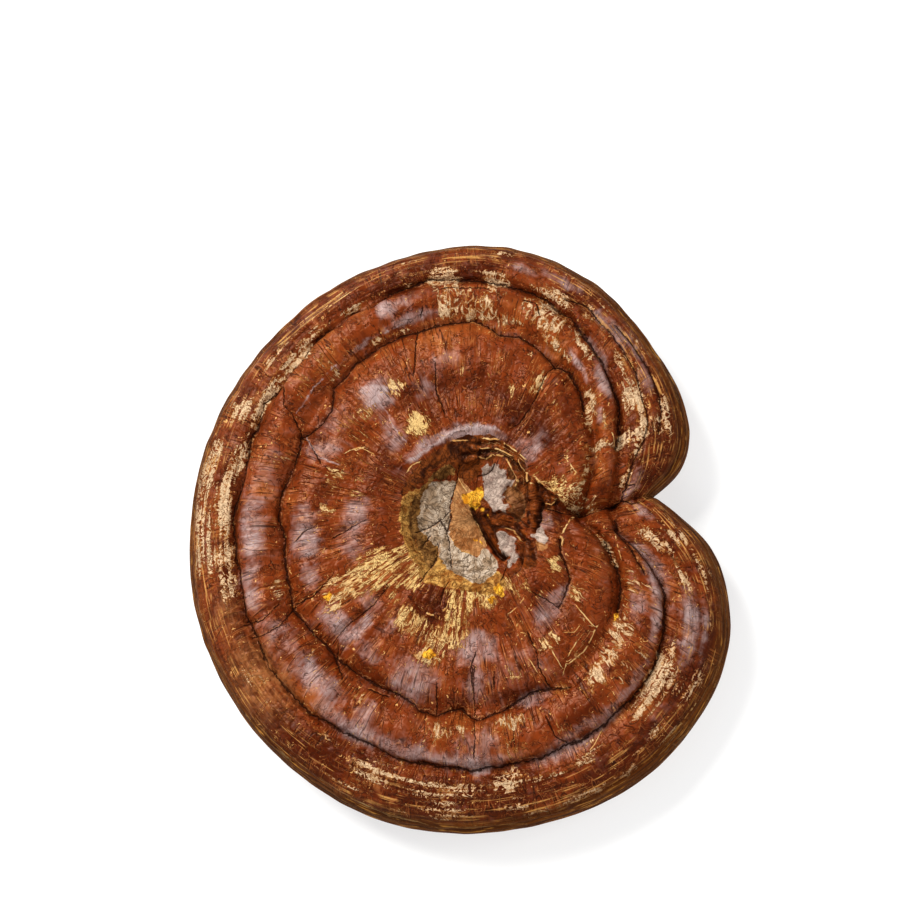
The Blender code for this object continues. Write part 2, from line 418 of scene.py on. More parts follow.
# The hollow's parts, as outlines in mm: old flesh of several colours, folds and the cavity
OCHRE_LIP = (
    (-18, 9.5), (-21, 6.5), (-22.5, 3.5), (-23, 0), (-22.5, -4), (-21.5, -7.5), (-20, -11.5),
    (-18, -15), (-16, -18.5), (-14.5, -21.5), (-12.5, -22.5), (-9.5, -23), (-6.5, -24), (-2.5, -25),
    (1.5, -25.5), (6, -26.5), (9, -26), (11.5, -25.5), (11.5, -23), (10, -19.5), (7.5, -17), (2.5, -14),
    (-4, -8.5), (-10.5, -3.5), (-15, 3), (-15.5, 7.5), (-16, 9.5),
)
# Painted shade: the olive patch is the hollow's inner left wall, darkened where shade falls
OLIVE_SHADE = (
    (-15, 11), (-12.5, 14), (-10, 16.5), (-7, 17), (-5, 16), (-5.5, 14), (-8.5, 13), (-12, 12),
    (-14.5, 9), (-16, 6), (-16.5, 2), (-16.5, -2), (-15.5, -5), (-13.5, -7), (-11, -8.5), (-11, -14),
    (-12.5, -17), (-14.5, -14), (-17, -10), (-19, -6), (-20, -1.5), (-19.5, 3.5), (-17.5, 7.5),
)
GREY_FLOOR = (
    (-13, 11), (-11, 12), (-8.5, 13), (-5.5, 12.5), (-6, 9), (-7, 6.5), (-7.5, 2.5), (-7, 0),
    (-8, -3.5), (-7.5, -6), (-6, -8), (-3.5, -11), (-1, -12), (2, -12.5), (3.5, -10), (6, -11.5),
    (8, -14.5), (9, -16.5), (8.5, -19), (5.5, -20.5), (3.5, -22.5), (1, -22), (-3, -20), (-7, -17.5),
    (-9, -15.5), (-11, -12.5), (-11, -9), (-14, -6.5), (-16.5, -4), (-17.5, 0), (-17, 4), (-15.5, 8),
)
TAN_FLOOR = (
    (
        (-5.5, 12.5), (-3.5, 13), (-1, 10.5), (1, 8.5), (-1, 5), (-0.5, 2), (2.5, -2.5), (4.5, -7.5),
        (4, -10), (2, -12.5), (-1, -11.5), (-3.5, -10.5), (-6, -8), (-7.5, -5.5), (-8, -3.5), (-7, 0.5),
        (-7.5, 3.5), (-6.5, 7.5),
    ),
    ((20, -8), (22.5, -9.5), (25, -12), (23, -13), (21.5, -13)),
)
SMOOTH_FLOOR = (
    (3.5, 16), (6, 17), (9, 16), (11, 14.5), (10.5, 12.5), (14, 11.5), (13, 10), (10.5, 9.5), (9.5, 7),
    (10.5, 4.5), (12, 3.5), (10.5, 1.5), (8, 2), (5.5, 3.5), (4, 6), (4, 9), (3.5, 12.5), (2.5, 14),
)
WALL = (
    (11.5, 15.5), (13.5, 13.5), (15.5, 10.5), (15, 9), (17, 6), (17, 1), (16, -2), (13.5, -1.5),
    (11.5, 1.5), (12.5, 3.5), (10.5, 5), (10, 7.5), (11, 9.5), (13, 10), (14.5, 11.5), (11, 12.5),
)
# Painted shade: these folds are painted dark where shade falls in them, and pressed in
DARK_FOLDS = (
    (
        (-1, 4.5), (1.5, 5), (4.5, 3.5), (8, 1.5), (11.5, 0), (15.5, -3), (18, -6.5), (17, -8.5),
        (14, -4.5), (11, -3), (9, -4), (7, -6.5), (9, -10.5), (11.5, -13.5), (9.5, -14.5), (6.5, -11),
        (3.5, -5.5), (1.5, 0),
    ),
    ((18, 4.5), (20, 5), (20, -0.5), (19.5, -5.5), (17.5, -3), (17, 1)),
)
KNOB = (
    (17, -8), (20, -8.5), (21.5, -11.5), (21.5, -15), (20.5, -18), (18, -19.5), (16, -16), (15, -11),
)
FACETS = (
    ((8, -5.5), (11, -5.5), (15, -8.5), (13, -11.5), (12.5, -14), (10.5, -13), (9, -10.5), (8, -7)),
    ((14, -9.5), (15, -13.5), (14, -17), (12, -18.5), (11.5, -15), (13, -11.5)),
    ((19, -7.5), (21, -5.5), (22.5, -4.5), (25, -8.5), (24, -11), (21.5, -9.5)),
)
BURNT_LIP = (
    (-20, 12.5), (-16, 17.5), (-13, 19.5), (-9.5, 22), (-5.5, 24), (0, 25.5), (5.5, 25.5), (9.5, 24),
    (13.5, 21.5), (16.5, 18), (18.5, 13.5), (19.5, 9.5), (19, 4.5), (17.5, 1), (16.5, 5), (15, 9),
    (15.5, 11.5), (13, 15.5), (11.5, 18), (8, 18.5), (3.5, 17.5), (2, 14), (-1, 11.5), (-4.5, 13),
    (-5, 16.5), (-8, 17), (-12, 15.5), (-15, 11.5), (-18, 9.5), (-21.5, 6.5), (-22, 8.5),
)
CAVITY = (
    (20, 5), (21.5, 4), (22, 1.5), (22, -2.5), (21, -6.5), (19.5, -5.5), (19, -1.5), (20, 1),
)
# Painted shade under the flap
UNDER_FLAP = (
    (20, 11), (22.5, 9), (25, 7), (27.5, 4.5), (29, 3), (27, 1.5), (25, 0), (22, 0.5), (20.5, 2.5),
    (20, 6.5),
)
YELLOW_CRUST = (
    (
        (-4, 7), (-3, 8.5), (-1, 9), (0.5, 9.5), (2.5, 10), (4, 9), (4, 6.5), (2.5, 5), (0.5, 3.5),
        (-1.5, 4), (-3, 5),
    ),
    ((7.5, -24), (9, -23), (11, -24.5), (11, -27), (9.5, -27.5), (8.5, -25.5)),
    ((5.5, -28), (7, -27), (8.5, -27.5), (7, -29)),
    ((0.5, -6.5), (2.5, -7), (3.5, -9), (1.5, -7.5)),
    ((2, 3.5), (3.5, 3.5), (4, 2), (2.5, 2.5)),
    ((4.5, 1.5), (5.5, 1), (5.5, -0.5)),
    ((-47, -25.5), (-44.5, -24), (-43.5, -26.5), (-46, -27)),
    ((44.5, -33), (46, -32.5), (47, -34), (45, -34.5)),
    ((-15.5, -45), (-12.5, -43.5), (-10, -45), (-13, -46.5)),
)
# Spots of waxy bloom with painted sheen, the soft light's reflection
BLOOM_AND_SHEEN_SPOTS = (
    (
        (-21, 17), (-17.5, 20), (-13.5, 22), (-9.5, 25), (-5.5, 27.5), (-1.5, 29), (3.5, 29), (8, 28),
        (10, 26.5), (6.5, 26.5), (2.5, 27), (-1, 27), (-4.5, 26), (-8, 24), (-12, 21.5), (-15.5, 19.5),
        (-18.5, 17),
    ),
    (
        (-35, 43), (-33, 43.5), (-30, 43.5), (-27.5, 42.5), (-27.5, 40), (-28, 37), (-29.5, 36),
        (-31, 37.5), (-33, 39), (-35.5, 41),
    ),
)
# Lines along the ridge crests, where a painted highlight runs
CREST_HIGHLIGHT_LINES = (
    (
        (-56.5, 35), (-51.5, 42.5), (-46.5, 48), (-41.5, 53), (-35.5, 57), (-30, 60), (-26, 62),
        (-20.5, 64.5),
    ),
    ((-28, 37), (-26, 32.5), (-25, 29.5), (-19.5, 23)),
    ((-53.5, 27.5), (-48.5, 19.5), (-41.5, 17)),
)


# Torn edges wander from the outlines
wander_x = 0.7 * lumps(x / 2.6, y / 2.6, 11.0) + 0.5 * lumps(x / 1.1, y / 1.1, 17.0)
wander_y = 0.7 * lumps(x / 2.6, y / 2.6, 23.0) + 0.5 * lumps(x / 1.1, y / 1.1, 29.0)


def inside(*outlines):
    """How deep in mm each point of the top lies inside the outlines, as a minus outside them."""
    depth = np.full(len(stations), -9.0)
    for outline in outlines:
        outline = np.array(outline, dtype=float)
        low, high = outline.min(axis=0) - 3, outline.max(axis=0) + 3
        near = (stations < RIM_STATION) & (x > low[0]) & (x < high[0]) & (y > low[1]) & (y < high[1])
        top = np.flatnonzero(near)
        points = np.column_stack((x[top] + wander_x[top], y[top] + wander_y[top]))
        nearest = np.full(len(top), 9.0)
        within = np.zeros(len(top), dtype=bool)
        for a, b in zip(outline, np.roll(outline, -1, axis=0)):
            along = np.clip((points - a) @ (b - a) / ((b - a) @ (b - a)), 0, 1)
            nearest = np.minimum(nearest, np.hypot(*(points - a - along[:, None] * (b - a)).T))
            crossed = (points[:, 1] < a[1]) != (points[:, 1] < b[1])
            level = 1.0 if b[1] == a[1] else b[1] - a[1]
            at = a[0] + (points[:, 1] - a[1]) / level * (b[0] - a[0])
            within ^= crossed & (points[:, 0] < at)
        depth[top] = np.maximum(depth[top], np.where(within, nearest, -nearest))
    return depth


# Folds and creases: the height in mm, the half width in mm, then the line they run along
FOLDS = (
    (-1.6, 0.8, (-0.5, 3.5), (2, -2), (5, -7.5), (8, -12), (10.5, -14)),
    (0.9, 0.5, (1.5, 2), (4.5, -3.5), (7.5, -8.5), (9.5, -11.5)),
    (-1.2, 0.6, (4, 1), (7, -4.5), (8, -8.5), (10, -12.5)),
    (1, 0.7, (8, -6), (11.5, -5), (15.5, -8.5), (14, -10.5)),
    (-1.2, 0.7, (7, -3.5), (11.5, -3.5), (14.5, -5.5), (17.5, -8.5)),
    (1.1, 0.6, (9, -1), (12.5, -1.5), (15.5, -4.5), (18, -7.5)),
    (-1, 0.6, (8, 1.5), (12, 0.5), (15.5, -1.5), (17.5, -4)),
    (0.8, 0.6, (11.5, 2), (14.5, 0.5), (17, -2)),
    (1.6, 2, (18, -10), (19, -16.5)),
    (-0.6, 0.4, (17, -8.5), (16.5, -16)),
    (-0.6, 0.4, (20, -9.5), (20.5, -16)),
    (0.7, 0.5, (15, -9), (14.5, -12.5), (15.5, -14.5), (15, -17.5), (12.5, -19.5)),
    (-0.9, 0.5, (16, -9), (15, -12.5), (16.5, -15), (16, -18), (13, -20.5)),
    (0.4, 0.4, (-6.5, 6.5), (-4, 2.5), (-4.5, -2.5), (-6, -6)),
    (0.7, 0.5, (14, 15.5), (15.5, 12.5), (14.5, 9.5)),
    (-0.6, 0.5, (13.5, 14), (14, 11.5), (11, 9.5), (10, 6.5), (11.5, 3.5)),
    (0.6, 0.45, (3.5, 24.5), (6.5, 24), (10.5, 23.5), (14, 20.5), (18, 17)),
    (0.6, 0.45, (0, 21.5), (3.5, 21.5), (6.5, 21.5), (9, 21), (11, 20), (13.5, 18.5), (15.5, 17),
      (17.5, 13.5)),
    (0.6, 0.45, (-2, 18), (3, 19), (7, 19.5), (9.5, 19), (11.5, 18), (13, 15.5), (14, 13),
      (15.5, 11), (14.5, 9)),
    (-0.7, 0.45, (0, 23), (4.5, 22.5), (9, 22.5), (13, 19.5), (15.5, 17.5)),
    (-0.8, 0.5, (-3, 19.5), (1.5, 20), (6.5, 20.5), (10, 19.5), (13.5, 17), (15, 14)),
    (-0.8, 0.5, (3, 25), (3, 21), (2, 17.5), (-1.5, 15.5)),
    (-0.9, 0.6, (17.5, 9), (17.5, 5), (16, 1)),
    (0.7, 0.5, (19.5, 9), (18.5, 4.5), (17.5, 1.5)),
    (0.8, 0.8, (-20.5, 7), (-22.5, 3.5), (-22.5, -1), (-22, -6), (-20.5, -10), (-18.5, -14),
      (-16, -18.5)),
    (-0.7, 0.9, (-17, 8), (-19.5, 3), (-19, -3), (-17.5, -9.5), (-14.5, -14.5), (-13, -16.5)),
    (0.6, 0.7, (-12.5, -23), (-7.5, -25), (-2.5, -24.5), (2.5, -23.5), (8, -22), (11.5, -21)),
    (0.9, 1, (-18, -29.5), (-16, -31.5), (-13, -33), (-9.5, -32)),
    (-0.9, 0.8, (-18.5, -27.5), (-15, -29.5), (-12, -30.5), (-9.5, -29)),
    (-0.7, 1.2, (-70, -32), (-61, -27)),
    (-0.9, 1.3, (-45, -40), (-39, -35), (-31, -28.5), (-26, -23)),
    (-0.6, 1.2, (-44, -6), (-33, -1)),
    (0.6, 2.2, (-41, -35), (-33, -33)),
    (-0.7, 1.2, (28, 49), (23, 40), (18, 33), (13, 27)),
    (-0.5, 1, (18, -38), (21, -47), (24.5, -55.5)),
    (0.6, 1, (-64, 57), (-56, 64), (-47, 70), (-36, 77)),
    (0.7, 0.7, (-9.5, 23.5), (-6, 26), (-1, 28), (5, 28), (8.5, 26)),
    (-0.6, 0.8, (12.5, 28), (16.5, 29.5), (19, 32.5)),
    (0.5, 0.8, (69.5, -22.5), (69, -36), (67, -45)),
    (0.5, 0.8, (73, -27), (73, -36), (71, -45)),
)
detail = np.zeros(len(stations))
# The narrow folds' heights also go to the material, which paints shade in their creases
relief = np.zeros(len(stations))
for fold_height, fold_width, *fold in FOLDS:
    gap, near = beside_lines([fold])
    fold = fold_height * hump(gap, 0, fold_width) * (near > 0) * near ** 0.3
    detail += fold
    if fold_width < 1.1:
        relief += fold

cavity = inside(CAVITY)
dark_folds = inside(*DARK_FOLDS, UNDER_FLAP)
smooth_floor = inside(SMOOTH_FLOOR)
facets = inside(*FACETS)

# The torn edge of the upper lobe stands clear of the cavity at the seam's inner end
FLAP_EDGE = ((20, 11.5), (23, 9.5), (26, 6.5), (29, 4), (31, 1))
flap_gap, flap_near = beside_lines([FLAP_EDGE])
flap_gap = -flap_gap
by_flap = np.where(np.abs(flap_gap) < 9, 1.0, 0.0) * hump(x, 25.5, 5.0) * hump(y, 6.0, 5.0)
detail += by_flap * 1.0 * rise(flap_gap, -0.4, 0.4) * np.exp(-np.maximum(flap_gap, 0) / 5)
detail -= by_flap * 2.6 * (1 - rise(flap_gap, -0.5, 0.3)) * np.exp(-np.maximum(-flap_gap, 0) / 3)

# Ring creases, flutes that run outwards, fine growth ridges at the margin, dents
round_60 = (60 * np.cos(round_seam), 60 * np.sin(round_seam))
detail -= 0.8 * hump(ring_gap, 0, 0.7) * ring_near
detail -= 0.5 * hump(crack_gap, 0, 0.7) * crack_near
ridge_zone = rise(share, 0.62, 0.68) * (1 - rise(share, 0.80, 0.84)) * on_top
plateau = rise(share, 0.3, 0.4) * (1 - rise(share, 0.60, 0.66)) * on_top
flutes = lumps(round_60[0] / 3.2, round_60[1] / 3.2, way / 14)
wide_flutes = lumps(round_60[0] / 8, round_60[1] / 8, way / 22 + 7)
detail += (0.40 * flutes + 0.40 * wide_flutes) * (ridge_zone + 0.8 * plateau + 0.25)
margin = rise(stations, 13.3, 14.5) * (1 - rise(stations, 18.5, 19.5))
terraces = lumps(round_60[0] / 26, round_60[1] / 26, way / 1.3)
detail += 0.55 * terraces * margin
dents = lumps(x / 7, y / 7, height / 7)
detail += 0.35 * dents * (0.4 + 0.6 * on_top)
hollow = 1 - rise(radius, 19, 25)
detail += hollow * on_top * 0.5 * lumps(x / 2.6, y / 2.6, 3.0)
detail -= 3.5 * rise(cavity, -0.8, 1.3)
detail -= 1.6 * rise(inside(UNDER_FLAP), -0.2, 0.8)
detail -= 1.0 * rise(dark_folds, -0.3, 0.8)
detail += 0.5 * rise(smooth_floor, -0.3, 0.3)
detail += 0.7 * rise(facets, -0.3, 0.4)
still = (stations > 22.5) | (stations < 0.05)
detail[still] = 0.0

# The detail stands along the section's normal
ahead = smooth_curve(np.arange(len(SECTION)), SECTION[:, :2], np.minimum(stations + 0.02, 25))
behind = smooth_curve(np.arange(len(SECTION)), SECTION[:, :2], np.maximum(stations - 0.02, 0))
run = (ahead[:, 0] - behind[:, 0]) * USUAL_RADIUS
drop = ahead[:, 1] - behind[:, 1]
slope = np.maximum(np.hypot(run, drop), 1e-9)
outwards, upwards = -drop / slope, run / slope
x = x + across * outwards * detail
y = y + up * outwards * detail
height = np.maximum(height + upwards * detail, 0.0)

mesh = bpy.data.meshes.new("reishi_cap")
bm.to_mesh(mesh)
bm.free()
mesh.vertices.foreach_set("co", (np.column_stack((x, y, height)) * MM).ravel())
mesh.shade_smooth()
mesh.update()


# What the growth and wear left on the crust, the waxy bloom with its painted sheen, and lighter or darker tones,
# in patches over the top: the place in mm, half its length along the ring, half its width across it, and how strong it
# is
RING_SCUFFS = np.array((
    (-55, 58, 10.5, 1.5, 1), (-40, 70, 4, 1, 0.65), (-75, 38, 4, 3, 1.05), (-67, 41, 4.5, 1, 0.75),
    (-73, 36, 4.5, 1.5, 0.6), (-65, 54, 3.5, 1, 0.5), (-86, 15, 8.5, 2, 0.9), (-76, 21, 8, 1.5, 0.85),
    (-31, 58, 1.5, 1, 0.8), (-22, 62, 2, 0.5, 0.6), (-27, 60, 1.5, 0.5, 0.5), (-21, 78, 1.5, 1, 0.6),
    (-21, 86, 3, 0.5, 0.6), (-17, 81, 3.5, 0.5, 0.45), (36, 54, 5, 1, 1.2), (29, 53, 3.5, 1, 1.1),
    (13, 64, 3.5, 1, 0.95), (2, 67, 2.5, 1, 0.9), (8, 65, 3, 1, 0.8), (-8, 80, 3, 1, 0.7),
    (7, 80, 3.5, 1.5, 0.7), (9, 73, 3, 1.5, 0.7), (-3, 72, 8, 6.5, 0.66), (23, 66, 6.5, 6, 0.95),
    (28, 71, 5, 1.5, 0.8), (38, 66, 1.5, 2.5, 0.6), (42, 61, 2.5, 0.5, 0.7), (21, 57, 2.5, 1, 0.6),
    (25, 56, 4.5, 2.5, 0.5), (39, 37, 4.5, 1.5, 1), (38, 29, 2, 1.5, 0.9), (41, 37, 2.5, 0.5, 0.6),
    (43, 30, 2.5, 1, 0.8), (52, 37, 5, 3, 0.8), (48, 49, 3.5, 1.5, 0.45), (62, 34, 6, 1.5, 0.75),
    (62, 30, 3, 1.5, 0.8), (64, 26, 1.5, 0.5, 0.8), (60, 46, 3.5, 0.5, 0.5), (64, 41, 3.5, 0.5, 0.6),
    (52, 58, 2.5, 0.5, 0.6), (43, 69, 2.5, 1, 0.4), (11, 88, 2.5, 0.5, 0.7), (-3, 91, 6.5, 0.5, 0.6),
    (22, 83, 3.5, 0.5, 0.5), (35, 76, 2.5, 0.5, 0.5), (28, 34, 2.5, 1, 0.8), (43, -11, 4.5, 1.5, 0.95),
    (55, -7, 1.5, 1.5, 0.85), (59, -10, 2.5, 1.5, 0.85), (65, -8, 1.5, 1.5, 1), (73, -19, 4, 1.5, 0.5),
    (66, -22, 4, 1.5, 0.7), (51, -23, 3, 3, 0.8), (49, -30, 1.5, 1.5, 0.6), (46, -40, 9, 3, 0.9),
    (40, -52, 4, 3, 1), (58, -55, 12, 3.5, 0.9), (65, -55, 4.5, 2.5, 0.6), (70, -54, 6, 1.5, 0.5),
    (57, -69, 2.5, 1, 0.7), (62, -71, 3, 2.5, 0.6), (14, -66, 4.5, 2, 0.8), (68, -70, 8.5, 1, 0.75),
    (-8, -69, 7.5, 2.5, 0.75), (4, -69, 3, 1.5, 0.5), (13, -66, 4.5, 2.5, 0.85), (15, -74, 4, 3, 0.6),
    (38, -74, 4, 1, 0.6), (37, -78, 3, 2, 0.7), (-28, -80, 8.5, 3, 0.62), (-34, -84, 4.5, 2.5, 0.55),
    (-8, -87, 13.5, 2.5, 0.8), (11, -85, 4.5, 3, 0.98), (14, -92, 4.5, 2, 0.75),
    (-10, -93, 7.5, 2.5, 0.5), (24, -84, 4, 1, 0.5), (35, -88, 11, 1, 0.8), (21, -93, 7.5, 0.5, 0.7),
    (48, -82, 4, 1, 0.8), (-28, -92, 7.5, 0.5, 0.6), (-89, -3, 11.5, 1.5, 0.95),
    (-85, -11, 4.5, 1.5, 0.8), (-80, 2, 7, 2, 0.85), (-80, -11, 3.5, 2.5, 0.8),
    (-79, -21, 4.5, 1.5, 0.55), (-47, -71, 6.5, 1.5, 0.55), (-32, -80, 7, 3, 0.65),
    (-9, -69, 6, 1.5, 0.7), (-69, -48, 4.5, 3.5, 0.35),
))
RAY_SCUFFS = np.array((
    (-50, 50, 7, 6, 0.42), (-54, 43, 2, 2, 0.6), (-41, 51, 1.5, 1.5, 0.8), (-45, 47, 1.5, 1.5, 0.7),
    (-24, 42, 3, 2.5, 0.8), (-38, 28, 4, 6, 0.5), (-35, 23, 5.5, 3.5, 0.4), (-33, 34, 3.5, 2, 0.75),
    (-43, 15, 5, 3, 0.7), (-36, 12, 7, 1.5, 0.5), (-17, 29, 4, 3.5, 1.3), (-61, 21, 2.5, 4, 0.5),
    (9, 51, 1, 3.5, 0.6), (-2, 47, 3.5, 1.5, 0.45), (8, 46, 3.5, 1.5, 0.45), (14, 40, 1, 2, 0.9),
    (22, 42, 1.5, 5.5, 0.9), (19, 52, 1.5, 1, 0.7), (27, 9, 1.5, 2.5, 1.1), (30, 8, 1.5, 3, 1.1),
    (34, 4, 4, 3, 1.1), (37, 14, 2.5, 2.5, 0.75), (31, 17, 1.5, 2, 0.8), (38, 2, 2.5, 1, 0.8),
    (33, 12, 1, 1.5, 0.8), (41, 21, 1, 5, 1.1), (50, 24, 1.5, 3.5, 1.1), (54, 26, 2.5, 2.5, 1.2),
    (49, 10, 1, 1, 0.8), (53, 20, 1.5, 1, 0.6), (39, -6, 1.5, 1, 0.5), (33, -11, 1.5, 0.5, 0.6),
    (27, -17, 1.5, 2, 0.9), (55, -24, 2.5, 2.5, 0.5), (44, -47, 3.5, 2.5, 0.8),
    (53, -46, 4.5, 3.5, 0.6), (49, -50, 3.5, 2.5, 0.5), (46, -54, 2.5, 2.5, 0.4),
    (62, -45, 2.5, 2.5, 0.5), (52, -61, 3.5, 3.5, 0.5), (34, -27, 2.5, 3, 0.8), (25, -42, 3, 2.5, 1),
    (34, -46, 6.5, 4, 0.35), (28, -57, 3.5, 1.5, 0.6), (38, -57, 3.5, 1.5, 0.5), (14, -23, 3, 3, 0.8),
    (16, -27, 3, 1, 0.6), (21, -28, 1.5, 0.5, 0.7), (37, -77, 3.5, 1, 0.6), (-7, -74, 8.5, 2, 0.38),
    (29, -69, 2.5, 2, 0.4), (-35, -58, 2, 1.5, 0.5), (-1, -56, 2, 4, 0.35), (14, -52, 2, 2, 0.4),
    (-62, -22, 3.5, 3, 0.6), (-66, -19, 2.5, 1.5, 0.5), (-47, 2, 1, 3, 0.7), (-64, -15, 1, 1, 0.6),
    (-50, -43, 1.5, 2.5, 0.6), (-44, -50, 3, 2.5, 0.5), (-12, -75, 6, 1.5, 0.35),
    (-42, -26, 2.5, 6.5, 1), (-36, -22, 3.5, 6.5, 1), (-29, -20, 3.5, 6.5, 1), (-24, -14, 4, 6.5, 0.95),
    (-32, -14, 2.5, 6, 0.7), (-18, -18, 3.5, 4, 0.9), (-19, -35, 6.5, 3.5, 0.85),
    (-23, -32, 3, 1.5, 0.6), (-24, -27, 2.5, 1.5, 0.6), (-10, -40, 5, 7, 0.9), (-13, -46, 4, 2.5, 0.8),
    (3, -26, 9.5, 3, 1), (15, -24, 4, 4, 0.8),
))
SCUFF_OUTLINES = (
    (
        (-21.5, -10.5), (-18.5, -13), (-16, -18.5), (-14.5, -22.5), (-17.5, -24), (-22, -22.5),
        (-27, -19), (-30, -16), (-25.5, -13),
    ),
    (
        (-8.5, -23.5), (0, -25.5), (9.5, -28), (8.5, -30), (3.5, -30.5), (-0.5, -29), (-2, -35),
        (-6.5, -34), (-7.5, -29),
    ),
    (
        (-21.5, -9.5), (-29, -10), (-34.5, -13.5), (-39.5, -17), (-44, -19.5), (-47, -20), (-48.5, -22),
        (-46, -26.5), (-42, -29), (-38, -26), (-34, -24.5), (-29.5, -23.5), (-23.5, -23.5),
        (-19, -22.5), (-16, -20.5), (-13.5, -18), (-16, -13), (-19, -11),
    ),
    (
        (-6.5, -27), (-0.5, -26.5), (1, -31), (-1, -34), (-0.5, -40), (-3, -43.5), (-7, -42.5),
        (-10.5, -48.5), (-16.5, -47.5), (-18, -44.5), (-13, -41), (-10.5, -37), (-7.5, -34),
        (-8.5, -30.5),
    ),
    (
        (-25, -32), (-20.5, -29.5), (-15, -32), (-11.5, -34.5), (-13, -37.5), (-18, -39), (-22.5, -38),
        (-24.5, -34.5),
    ),
    (
        (20, 11.5), (23, 11), (26.5, 8.5), (30, 6), (32.5, 9), (34.5, 10), (36, 6), (37.5, 4),
        (40.5, 0.5), (38.5, 0.5), (36, 2.5), (33.5, 0.5), (29.5, 2), (27.5, 5), (23, 8.5),
    ),
    (
        (37, 19.5), (37.5, 21), (41.5, 22.5), (46.5, 22.5), (50.5, 25.5), (53, 27.5), (55.5, 29),
        (56, 25.5), (53, 23.5), (49.5, 22), (46.5, 20.5), (41.5, 20), (38, 19),
    ),
    (
        (46.5, -33.5), (50, -36), (51.5, -39), (49, -42), (47, -45), (45, -48.5), (43, -51), (41, -54),
        (38, -54), (36.5, -52), (39, -49.5), (39.5, -46), (42, -43), (44, -39.5), (44.5, -35.5),
    ),
    (
        (58, -45), (61, -47), (64.5, -49.5), (63, -53), (60.5, -57), (57.5, -59), (55, -61.5),
        (53, -65.5), (51, -67.5), (50, -65.5), (52, -61.5), (54.5, -58), (55, -54), (56.5, -50.5),
    ),
    (
        (-13, 83), (-5.5, 83.5), (-4, 75), (-6, 72), (4, 70.5), (5, 65), (-0.5, 64.5), (-5, 66),
        (-10, 66), (-10.5, 72.5), (-14, 78),
    ),
    (
        (5, 81.5), (9.5, 80.5), (12.5, 77.5), (9, 74), (7, 68.5), (13.5, 64.5), (16, 62), (9.5, 62.5),
        (5, 65), (4.5, 70.5), (5.5, 75),
    ),
    (
        (20, 71), (24, 70.5), (27.5, 67.5), (30.5, 64.5), (30, 60), (27, 58.5), (24.5, 59.5),
        (21.5, 60.5), (18.5, 62.5), (19, 67),
    ),
    (
        (20, 76), (24.5, 74.5), (29, 72.5), (31.5, 70), (31, 68.5), (27, 70.5), (23, 73), (19.5, 75),
    ),
    (
        (31.5, 61.5), (34, 59), (36, 56), (39.5, 51.5), (39.5, 49), (38, 48.5), (35.5, 52.5),
        (33.5, 56), (31, 60),
    ),
    (
        (26.5, 57.5), (29.5, 55), (31.5, 51.5), (32, 49.5), (30, 51), (27.5, 54),
    ),
    (
        (36, 41), (39, 38), (40.5, 34.5), (40, 31.5), (38.5, 27), (37, 28), (37.5, 33), (36.5, 36.5),
    ),
    (
        (49.5, 40), (53.5, 41.5), (55, 37), (55, 31.5), (52.5, 32.5), (49.5, 35.5),
    ),
    (
        (-61.5, 52.5), (-58, 54), (-55.5, 57), (-52.5, 59.5), (-51.5, 59.5), (-51.5, 56), (-53, 54),
        (-57, 51.5), (-60, 49.5), (-62, 50),
    ),
    (
        (-72.5, 32), (-71, 36), (-69.5, 40), (-67, 43.5), (-63.5, 47), (-62, 48.5), (-61.5, 48),
        (-63, 45), (-65.5, 42.5), (-67, 39), (-69, 35.5), (-71, 31.5),
    ),
    (
        (-18.5, 32.5), (-16.5, 33.5), (-15, 31), (-12.5, 31), (-13.5, 28.5), (-15.5, 27), (-18.5, 25),
        (-20.5, 26.5), (-20, 29), (-20.5, 30.5),
    ),
    (
        (-90.5, 9.5), (-90.5, 18), (-87, 23.5), (-84.5, 27.5), (-81.5, 29), (-80.5, 24), (-83.5, 21),
        (-86, 16.5), (-87, 8.5),
    ),
    (
        (-82.5, 8), (-81.5, 14), (-78.5, 22), (-76.5, 27), (-75, 26), (-75.5, 21), (-78, 14),
        (-79.5, 8),
    ),
    (
        (-77, 40), (-74, 41), (-72.5, 38), (-70, 37), (-70.5, 34.5), (-74.5, 34), (-78, 37.5),
    ),
    (
        (-93, 10.5), (-88.5, 9), (-88.5, 2), (-88, -6.5), (-87.5, -13.5), (-89, -16), (-90, -13),
        (-91, -2.5),
    ),
    (
        (-87, 8.5), (-85.5, 8.5), (-84.5, 1.5), (-84, -7), (-82.5, -11), (-84.5, -14), (-86, -9),
        (-86.5, 0),
    ),
    (
        (-83.5, 8), (-78.5, 8), (-78.5, 4.5), (-81, 1.5), (-80.5, -3.5), (-82, -3), (-83, 3),
    ),
    (
        (-82, -7), (-78, -7.5), (-77.5, -11), (-78, -14), (-81, -13.5), (-82, -10.5),
    ),
    (
        (-81, -15.5), (-77, -16.5), (-76.5, -23.5), (-79, -25), (-80.5, -22),
    ),
)
